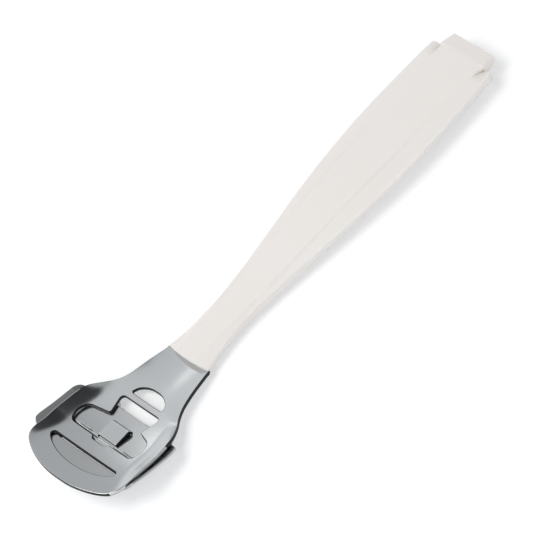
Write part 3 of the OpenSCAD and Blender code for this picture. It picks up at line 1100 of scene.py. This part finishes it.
@dataclass
class HeadPlate:
    """Pressed head plate: lip, windows, neck and tang, with the hinge eyes below."""

    die: HeadDie
    thickness: float = 1.0
    edge: float = 0.2
    step: float = 0.5
    polished: Point = (-76.0, -57.0)
    tang_half: float = 3.7
    tang_y: float = -15.0
    neck_y: float = -32.5
    window_shift: float = -1.3
    lip_skew: float = 0.6
    skew_start: Point = (68.0, 6.0)
    eye_x: float = 11.0
    eye_w: float = 2.2
    eye_r: float = 1.28
    eye_bevel: float = 0.08
    bevel_angle: float = 50.0
    smooth_angle: float = 35.0
    web_y: Point = (-0.1, 1.28)
    web_sink: float = 0.25
    bore_r: float = 0.73
    bore_extra: float = 1.0
    hinge_y: float = -53.967

    def outline(self) -> list[Point]:
        """Draw the plan of the plate.

        Returns:
            The outline, with the tang.
        """
        lip = [(0, -80.45), (4, -80.35), (8, -79.8), (12.4, -78.7), (16.1, -77.2), (18.6, -75.2)]
        side = [(19.5, -72.3), (19.5, -68), (19.35, -62), (18.95, -57.6), (17.9, -54.2), (15.5, -50.8)]
        neck = [(13.1, -48.0), (11.6, -45.2), (10.6, -41.8), (9.7, -38), (8.9, -34.6), (8.6, self.neck_y)]
        half = smooth_line(lip + side + neck, 5)
        tang = [(self.tang_half, self.neck_y), (self.tang_half, self.tang_y), (0, self.tang_y)]
        start, length = self.skew_start
        return [(x - self.lip_skew * ease((-y - start) / length), y) for x, y in both_sides(half + tang)]

    def windows(self) -> list[list[Point]]:
        """Draw the plans of the windows.

        Returns:
            The lip's window, the T window and the half moon.
        """
        bow = [(0, -74.95), (4.2, -74.7), (8.2, -73.95), (11.4, -72.8)]
        corner = [(13.2, -71.8), (13.9, -70.9), (13.4, -70.15)]
        lip = both_sides(smooth_line(bow + corner, 5) + [(13.0, -70.0), (0, -70.0)])
        side = [(3.5, -64.9), (13.1, -64.9), (14.1, -61.6), (13.1, -58.5), (7.8, -57.2), (9.7, -51.15)]
        rear = [(-7.1, -51.15), (-5.2, -57.2), (-13.1, -58.5), (-14.1, -61.6), (-13.1, -64.9), (-3.5, -64.9)]
        front = [(-2.6, -65.9), (2.6, -65.9)]
        radii = [0.6, 2.6, 3.0, 3.0, 1.0, 1.3, 1.3, 1.0, 3.0, 3.0, 2.6, 0.6, 0.8, 0.8]
        arms = round_corners(shifted(side + rear + front, self.window_shift), radii)
        moon = [(6.5, -48.75), (5.6, -47.2), (3.6, -45.95), (1.5, -45.45), (0, -45.4)]
        half_moon = both_sides([(0, -49.2), (6.0, -49.2)] + smooth_line(moon, 5))
        return [shifted(lip, self.window_shift), arms, half_moon]

    def build(self) -> bpy.types.Object:
        """Model the head plate.

        Returns:
            The head plate.
        """
        sheet = SheetBlank("head_pressing", self.outline(), self.windows(), self.thickness, self.edge,
                           self.step, polished=self.polished)
        plate = sheet.cut()
        sheet.press(plate, self.die.height)
        join_into(plate, [self._eye(side) for side in (-1, 1)])
        return plate

    def dress(self, piece: bpy.types.Object, finishes: Finishes) -> None:
        """Dress the head plate in polished steel."""
        dress_piece(piece, finishes.head, Body.GRIP, "head_plate")

    def _eye(self, side: int) -> bpy.types.Object:
        """Roll one hinge eye under the plate.

        Args:
            side: -1 for the left eye, or 1 for the right one.

        Returns:
            The eye.
        """
        low, high = sorted((side * (self.eye_x - self.eye_w / 2), side * (self.eye_x + self.eye_w / 2)))
        eye = cross_rod("eye", (low, high), self.hinge_y, self.eye_r, self.eye_r)
        under = self.die.height(side * self.eye_x, self.hinge_y) - self.thickness
        web = block("web", (low, self.hinge_y + self.web_y[0], self.eye_r),
                    (high, self.hinge_y + self.web_y[1], under + self.web_sink))
        cut_with(eye, web, Cut.UNION)
        bore = cross_rod("bore", (low - self.bore_extra, high + self.bore_extra), self.hinge_y, self.eye_r,
                         self.bore_r)
        cut_with(eye, bore, Cut.DIFFERENCE)
        finish_modifier(eye, "BEVEL", width=self.eye_bevel * MM, segments=BEVEL_STEPS, limit_method="ANGLE",
                        angle_limit=math.radians(self.bevel_angle))
        smooth_faces(eye, self.smooth_angle)
        return eye


# The sole

@dataclass
class SolePlate:
    """Pressed sole: ears, throat, blade stops, latch tongue and hinge pins."""

    die: SoleDie
    thickness: float = 0.7
    edge: float = 0.16
    step: float = 0.6
    polished: Point = (-100.0, 0.0)
    back_y: float = -54.2
    body_half: float = 16.4
    ear_half: float = 21.55
    throat_half: float = 13.1
    throat_y: Point = (-70.45, -69.65)
    hole_r: float = 0.4
    tongue_shift: float = -0.15
    tongue_half: float = 3.85
    tongue_root: float = -57.9
    tongue_front: float = -63.9
    tongue_rise: float = 1.45
    tongue_bend: float = 0.8
    tongue_tuck: float = 0.3
    tongue_r: float = 0.35
    tongue_edge: float = 0.1
    tongue_step: float = 0.45
    side_gap: float = 0.12
    root_gap: float = 0.6
    front_gap: float = 0.35
    skirt_drop: float = 1.6
    skirt_top: float = 0.2
    skirt_half: float = 0.2
    skirt_inset: float = 0.3
    skirt_y: Point = (-63.8, -58.65)
    skirt_bevel: float = 0.5
    skirt_steps: int = 4
    front_half: float = 3.75
    front_y: Point = (-63.82, -63.42)
    stop_x: Point = (7.1, 11.7)
    stop_y: Point = (-64.1, -63.8)
    stop_z: Point = (-0.3, 0.75)
    stop_bevel: float = 0.06
    # share of painted shade on the stop's faces other than its front
    stop_side_shade: float = 0.1
    stop_front_tilt: float = -0.9
    eye_slot_x: Point = (9.55, 12.45)
    eye_slot_y: Point = (-55.8, -53.0)
    slot_z: float = 5.0
    hinge_y: float = -53.967
    hinge_z: float = 1.28
    pin_x: Point = (8.5, 13.5)
    pin_r: float = 0.65
    pin_bevel: float = 0.06
    knuckle_x: Point = (8.45, 12.45)
    knuckle_w: float = 1.1
    knuckle_r: float = 1.09
    knuckle_bevel: float = 0.08
    smooth_angle: float = 35.0

    def outline(self) -> list[Point]:
        """Draw the plan of the sole with its ears.

        Returns:
            The outline.
        """
        front = smooth_line([(0, -78.2), (6, -77.9), (11, -76.8), (14.2, -75.2)], 6)
        corner = [(15.2, -74.0), (15.8, -72.8)]
        ear_front = [(17.6, -72.4), (19.6, -72.1), (21.0, -71.1)]
        ear_side = [(self.ear_half, y) for y in (-69.4, -65, -58.8)]
        ear_back = [(21.2, -56.6), (20.2, -55.3), (18.4, -54.9)]
        ear = smooth_line(ear_front + ear_side + ear_back, 5)
        back = [(self.body_half, -54.6), (self.body_half, self.back_y), (0, self.back_y)]
        return both_sides(front + corner + ear + back)

    def holes(self) -> list[list[Point]]:
        """Draw the plans of the holes.

        Returns:
            The throat and the tongue's window.
        """
        throat = rounded_rectangle(self.throat_half, self.throat_y, self.hole_r)
        tongue_y = (self.tongue_front - self.front_gap, self.tongue_root - self.root_gap)
        tongue = rounded_rectangle(self.tongue_half + self.side_gap, tongue_y, self.hole_r)
        return [throat, shifted(tongue, self.tongue_shift)]

    def build(self) -> bpy.types.Object:
        """Model the sole.

        Returns:
            The sole.
        """
        sheet = SheetBlank("sole_pressing", self.outline(), self.holes(), self.thickness, self.edge,
                           self.step, polished=self.polished)
        plate = sheet.cut()
        for side in (-1, 1):
            low, high = sorted(side * x for x in self.eye_slot_x)
            front, back = self.eye_slot_y
            slot = block("eye_slot", (low, front, -self.slot_z), (high, back, self.slot_z))
            cut_with(plate, slot, Cut.DIFFERENCE)
        sheet.press(plate, self.die.height)
        parts = [self._tongue()]
        for side in (-1, 1):
            parts += self._hinge(side)
            parts.append(self._stop(side))
        join_into(plate, parts)
        return plate

    def dress(self, piece: bpy.types.Object, finishes: Finishes) -> None:
        """Dress the sole in polished steel."""
        dress_piece(piece, finishes.sole, Body.SOLE, "sole_plate")

    def _tongue(self) -> bpy.types.Object:
        """Press the latch tongue that stands up through the middle window.

        Returns:
            The tongue with its skirts.
        """
        ends = (self.tongue_front, self.tongue_root + self.tongue_tuck)
        plan = rounded_rectangle(self.tongue_half, ends, self.tongue_r, 3)
        sheet = SheetBlank("tongue", shifted(plan, self.tongue_shift), [], self.thickness,
                           self.tongue_edge, self.tongue_step)
        strip = sheet.cut()
        root_z = self.die.height(0, self.tongue_root)

        def lift(x: float, y: float) -> float:
            """Height of the tongue's upper side."""
            return root_z + self.tongue_rise * ease((self.tongue_root - y) / self.tongue_bend)

        sheet.press(strip, lift)
        top = root_z + self.tongue_rise
        reach = self.tongue_half - self.skirt_inset
        skirts = [self._skirt(x, top) for x in (self.tongue_shift - reach, self.tongue_shift + reach)]
        join_into(strip, skirts + [self._front_skirt(top)])
        return strip

    def _skirt(self, x: float, top: float) -> bpy.types.Object:
        """Turn down one side of the latch tongue, painted fully dark as shade.

        Args:
            x: Middle of the skirt's thickness.
            top: Height of the tongue.

        Returns:
            The skirt.
        """
        front, back = self.skirt_y
        low, high, half = top - self.skirt_drop, top - self.skirt_top, self.skirt_half
        skirt = block("skirt", (x - half, front, low), (x + half, back, high))
        past_y, below_z = (back - half / 2) * MM, (low + half / 2) * MM
        bevel_edges(skirt, lambda ends: all(end.y > past_y and end.z < below_z for end in ends),
                    self.skirt_bevel, self.skirt_steps)
        turn_outwards(skirt)
        # the skirt is painted fully dark as shade
        mark_edge_shade(skirt, [1.0] * len(skirt.data.polygons))
        return skirt

    def _front_skirt(self, top: float) -> bpy.types.Object:
        """Turn down the front of the latch tongue, painted fully dark as shade.

        Args:
            top: Height of the tongue.

        Returns:
            The front skirt.
        """
        low, high = self.tongue_shift - self.front_half, self.tongue_shift + self.front_half
        skirt = block("front_skirt", (low, self.front_y[0], top - self.skirt_drop),
                      (high, self.front_y[1], top - self.skirt_top))
        # the front skirt is painted fully dark as shade
        mark_edge_shade(skirt, [1.0] * len(skirt.data.polygons))
        return skirt

    def _stop(self, side: int) -> bpy.types.Object:
        """Raise one stop behind the blade, its front painted dark as shade and its other faces lightly
        shaded the same way.

        Args:
            side: -1 for the left stop, or 1 for the right one.

        Returns:
            The stop.
        """
        low, high = sorted(side * x for x in self.stop_x)
        front, back = self.stop_y
        foot, top = (self.die.height((low + high) / 2, front) + z for z in self.stop_z)
        stop = block("stop", (low, front, foot), (high, back, top), self.stop_bevel)
        # painted shade: the front fully dark, the other faces a little
        mark_edge_shade(stop, [1.0 if face.normal.y < self.stop_front_tilt else self.stop_side_shade
                        for face in stop.data.polygons])
        return stop

    def _hinge(self, side: int) -> list[bpy.types.Object]:
        """Make the knuckles and the pin of one side.

        Args:
            side: -1 for the left side, or 1 for the right one.

        Returns:
            The pin and its two knuckles.
        """
        rods = [("pin", self.pin_x, self.pin_r, self.pin_bevel)]
        for x in self.knuckle_x:
            rods.append(("knuckle", (x, x + self.knuckle_w), self.knuckle_r, self.knuckle_bevel))
        parts = []
        for name, ends, radius, bevel in rods:
            low, high = sorted(side * x for x in ends)
            parts.append(cross_rod(name, (low, high), self.hinge_y, self.hinge_z, radius, bevel))
            smooth_faces(parts[-1], self.smooth_angle)
        return parts


# The blade

@dataclass
class Blade:
    """Replaceable blade: a thin strip with a ground edge and stepped ends, bent to the dish."""

    die: HeadDie
    half: float = 16.0
    edge_half: float = 12.6
    slant: float = 0.8
    front_y: float = -70.25
    step_y: float = -69.4
    back_y: float = -65.1
    corner_r: float = 0.35
    thickness: float = 0.2
    edge: float = 0.02
    step: float = 0.4
    drop: float = 1.2
    grind: float = 0.8
    ground_share: float = 0.15

    def build(self) -> bpy.types.Object:
        """Model the blade.

        Returns:
            The blade.
        """
        half, inner, outer = self.half, self.edge_half, self.edge_half + self.slant
        plan = [(-half, self.step_y), (-outer, self.step_y), (-inner, self.front_y), (inner, self.front_y),
                (outer, self.step_y), (half, self.step_y), (half, self.back_y), (-half, self.back_y)]
        sheet = SheetBlank("blade_strip", round_corners(plan, self.corner_r, 3), [], self.thickness,
                           self.edge, self.step)
        strip = sheet.cut()
        for vertex in strip.data.vertices:
            share = min((vertex.co.y / MM - self.front_y) / self.grind, 1.0)
            vertex.co.z *= self.ground_share + (1 - self.ground_share) * max(share, 0.0)

        def bed(x: float, y: float) -> float:
            """Height of the blade's upper side."""
            return self.die.dish(x, y) - self.drop

        sheet.press(strip, bed)
        return strip

    def dress(self, piece: bpy.types.Object, finishes: Finishes) -> None:
        """Dress the blade in ground steel."""
        dress_piece(piece, finishes.blade, Body.SOLE, "blade")


# The studio

@dataclass
class Studio:
    """Floor, lamps and camera."""

    right: Vector = Vector((0.6078, 0.6731, -0.4212))
    down: Vector = Vector((0.3915, -0.7172, -0.5767))
    aim: Vector = Vector((-1.513, -0.652, 3.4))
    distance: float = 2.0
    pixels_per_mm: float = 3.782
    frame_pixels: int = 533
    sensor: float = 36.0
    clip: Point = (0.05, 20.0)
    floor_size: float = 6.0
    floor_drop: float = 0.02
    floor_colour: Colour = (0.78, 0.785, 0.795)
    floor_roughness: float = 0.9
    floor_glow: float = 0.345
    sky_tint: Colour = (0.985, 0.995, 1.0)
    sky_pale: tuple[Point, ...] = ((0.0, 1.0), (0.3, 1.0), (0.5, 0.93), (0.66, 0.88), (0.86, 0.8))
    sky_dark: tuple[Point, ...] = ((0.915, 0.06), (1.0, 0.02))
    low_band: Point = (0.45, 0.68)
    low_light: Point = (1.55, 0.5)
    right_band: Point = (0.0, 0.5)
    behind_band: Point = (0.27, 0.36)
    behind_light: float = 0.68
    lamp_colour: Colour = (1.0, 0.985, 0.965)
    lamp_distance: float = 1.0

    def build(self) -> None:
        """Set the floor, the lamps and the camera."""
        self._floor()
        self._world()
        self._lamp("key", Vector((-0.22, -0.36, 0.9)), size=0.7, power=4.2)
        self._lamp("streak", Vector((-0.77, 0.25, 0.59)), size=0.09, power=0.024)
        self._camera()
        bpy.context.scene.view_settings.view_transform = "Standard"

    def _floor(self) -> None:
        """Lay a plain pale floor that stays white to the camera and keeps the shadow."""
        bpy.ops.mesh.primitive_plane_add(size=self.floor_size, location=(0, 0, -self.floor_drop * MM))
        floor = take_primitive("studio_floor")
        material = bpy.data.materials.new("floor_paper")
        material.use_nodes = True
        wire = Wiring(material.node_tree)
        inputs = material.node_tree.nodes["Principled BSDF"].inputs
        path = wire.node("ShaderNodeLightPath").outputs
        seen = wire.math("MAXIMUM", path["Is Camera Ray"], path["Is Glossy Ray"])
        seen = wire.math("MAXIMUM", seen, path["Is Transmission Ray"])
        wire.feed(colour_of(self.floor_colour), inputs["Base Color"])
        wire.feed(self.floor_roughness, inputs["Roughness"])
        wire.feed(0.0, inputs["Specular IOR Level"])
        wire.feed(colour_of((1, 1, 1)), inputs["Emission Color"])
        wire.feed(wire.math("MULTIPLY", seen, self.floor_glow), inputs["Emission Strength"])
        floor.data.materials.append(material)

    def _world(self) -> None:
        """Light the room evenly, paler at the sides, stronger at the lower right and dark overhead."""
        world = bpy.data.worlds.new("studio")
        bpy.context.scene.world = world
        world.use_nodes = True
        wire = Wiring(world.node_tree)
        place = wire.node("ShaderNodeTexCoord").outputs["Generated"]
        apart = wire.node("ShaderNodeSeparateXYZ", {0: place}).outputs
        ramp = wire.node("ShaderNodeValToRGB", {0: apart["Z"]})
        elements = ramp.color_ramp.elements
        for index, (height, level) in enumerate(self.sky_pale + self.sky_dark):
            stop = elements[index] if index < 2 else elements.new(height)
            stop.position = height
            stop.color = colour_of(tuple(level * tint for tint in self.sky_tint))
        low = wire.spread(apart["Z"], *self.low_band, self.low_light, "SMOOTHSTEP")
        right = wire.spread(apart["X"], *self.right_band, (1.0, low), "SMOOTHSTEP")
        behind = wire.spread(apart["Y"], *self.behind_band, (1.0, self.behind_light), "SMOOTHSTEP")
        background = world.node_tree.nodes["Background"].inputs
        wire.feed(ramp.outputs[0], background["Color"])
        wire.feed(wire.math("MULTIPLY", right, behind), background["Strength"])

    def _lamp(self, name: str, direction: Vector, size: float, power: float) -> None:
        """Hang a square lamp that faces the tool.

        Args:
            name: Name of the lamp.
            direction: Direction from the tool to the lamp.
            size: Side of the lamp in metres.
            power: Power in watts.
        """
        bpy.ops.object.light_add(type="AREA", location=direction.normalized() * self.lamp_distance)
        lamp = bpy.context.object
        lamp.name = name
        lamp.rotation_euler = (-direction).to_track_quat("-Z", "Y").to_euler()
        lamp.data.shape = "SQUARE"
        lamp.data.size = size
        lamp.data.energy = power
        lamp.data.color = self.lamp_colour

    def _camera(self) -> None:
        """Place the camera at the photograph's viewing angle."""
        bpy.ops.object.camera_add()
        camera = bpy.context.object
        camera.name = "camera"
        right = self.right.normalized()
        down = (self.down - right * self.down.dot(right)).normalized()
        ahead = right.cross(down)
        width = self.frame_pixels / self.pixels_per_mm * MM
        camera.data.sensor_width = self.sensor
        camera.data.lens = camera.data.sensor_width * self.distance / width
        camera.data.clip_start, camera.data.clip_end = self.clip
        turn = Matrix((right, -down, -ahead)).transposed().to_4x4()
        camera.matrix_world = Matrix.Translation(self.aim * MM - ahead * self.distance) @ turn
        bpy.context.scene.camera = camera


def main() -> None:
    """Build the whole tool and its studio."""
    logging.basicConfig(level=logging.INFO, format="%(name)s %(message)s")
    finishes = Finishes()
    head_die = HeadDie()
    for part in (Handle(), HeadPlate(head_die), SolePlate(SoleDie(head_die)), Blade(head_die)):
        piece = part.build()
        part.dress(piece, finishes)
        LOG.info("%s: %d faces", piece.name, len(piece.data.polygons))
    Studio().build()


if __name__ == "__main__":
    main()
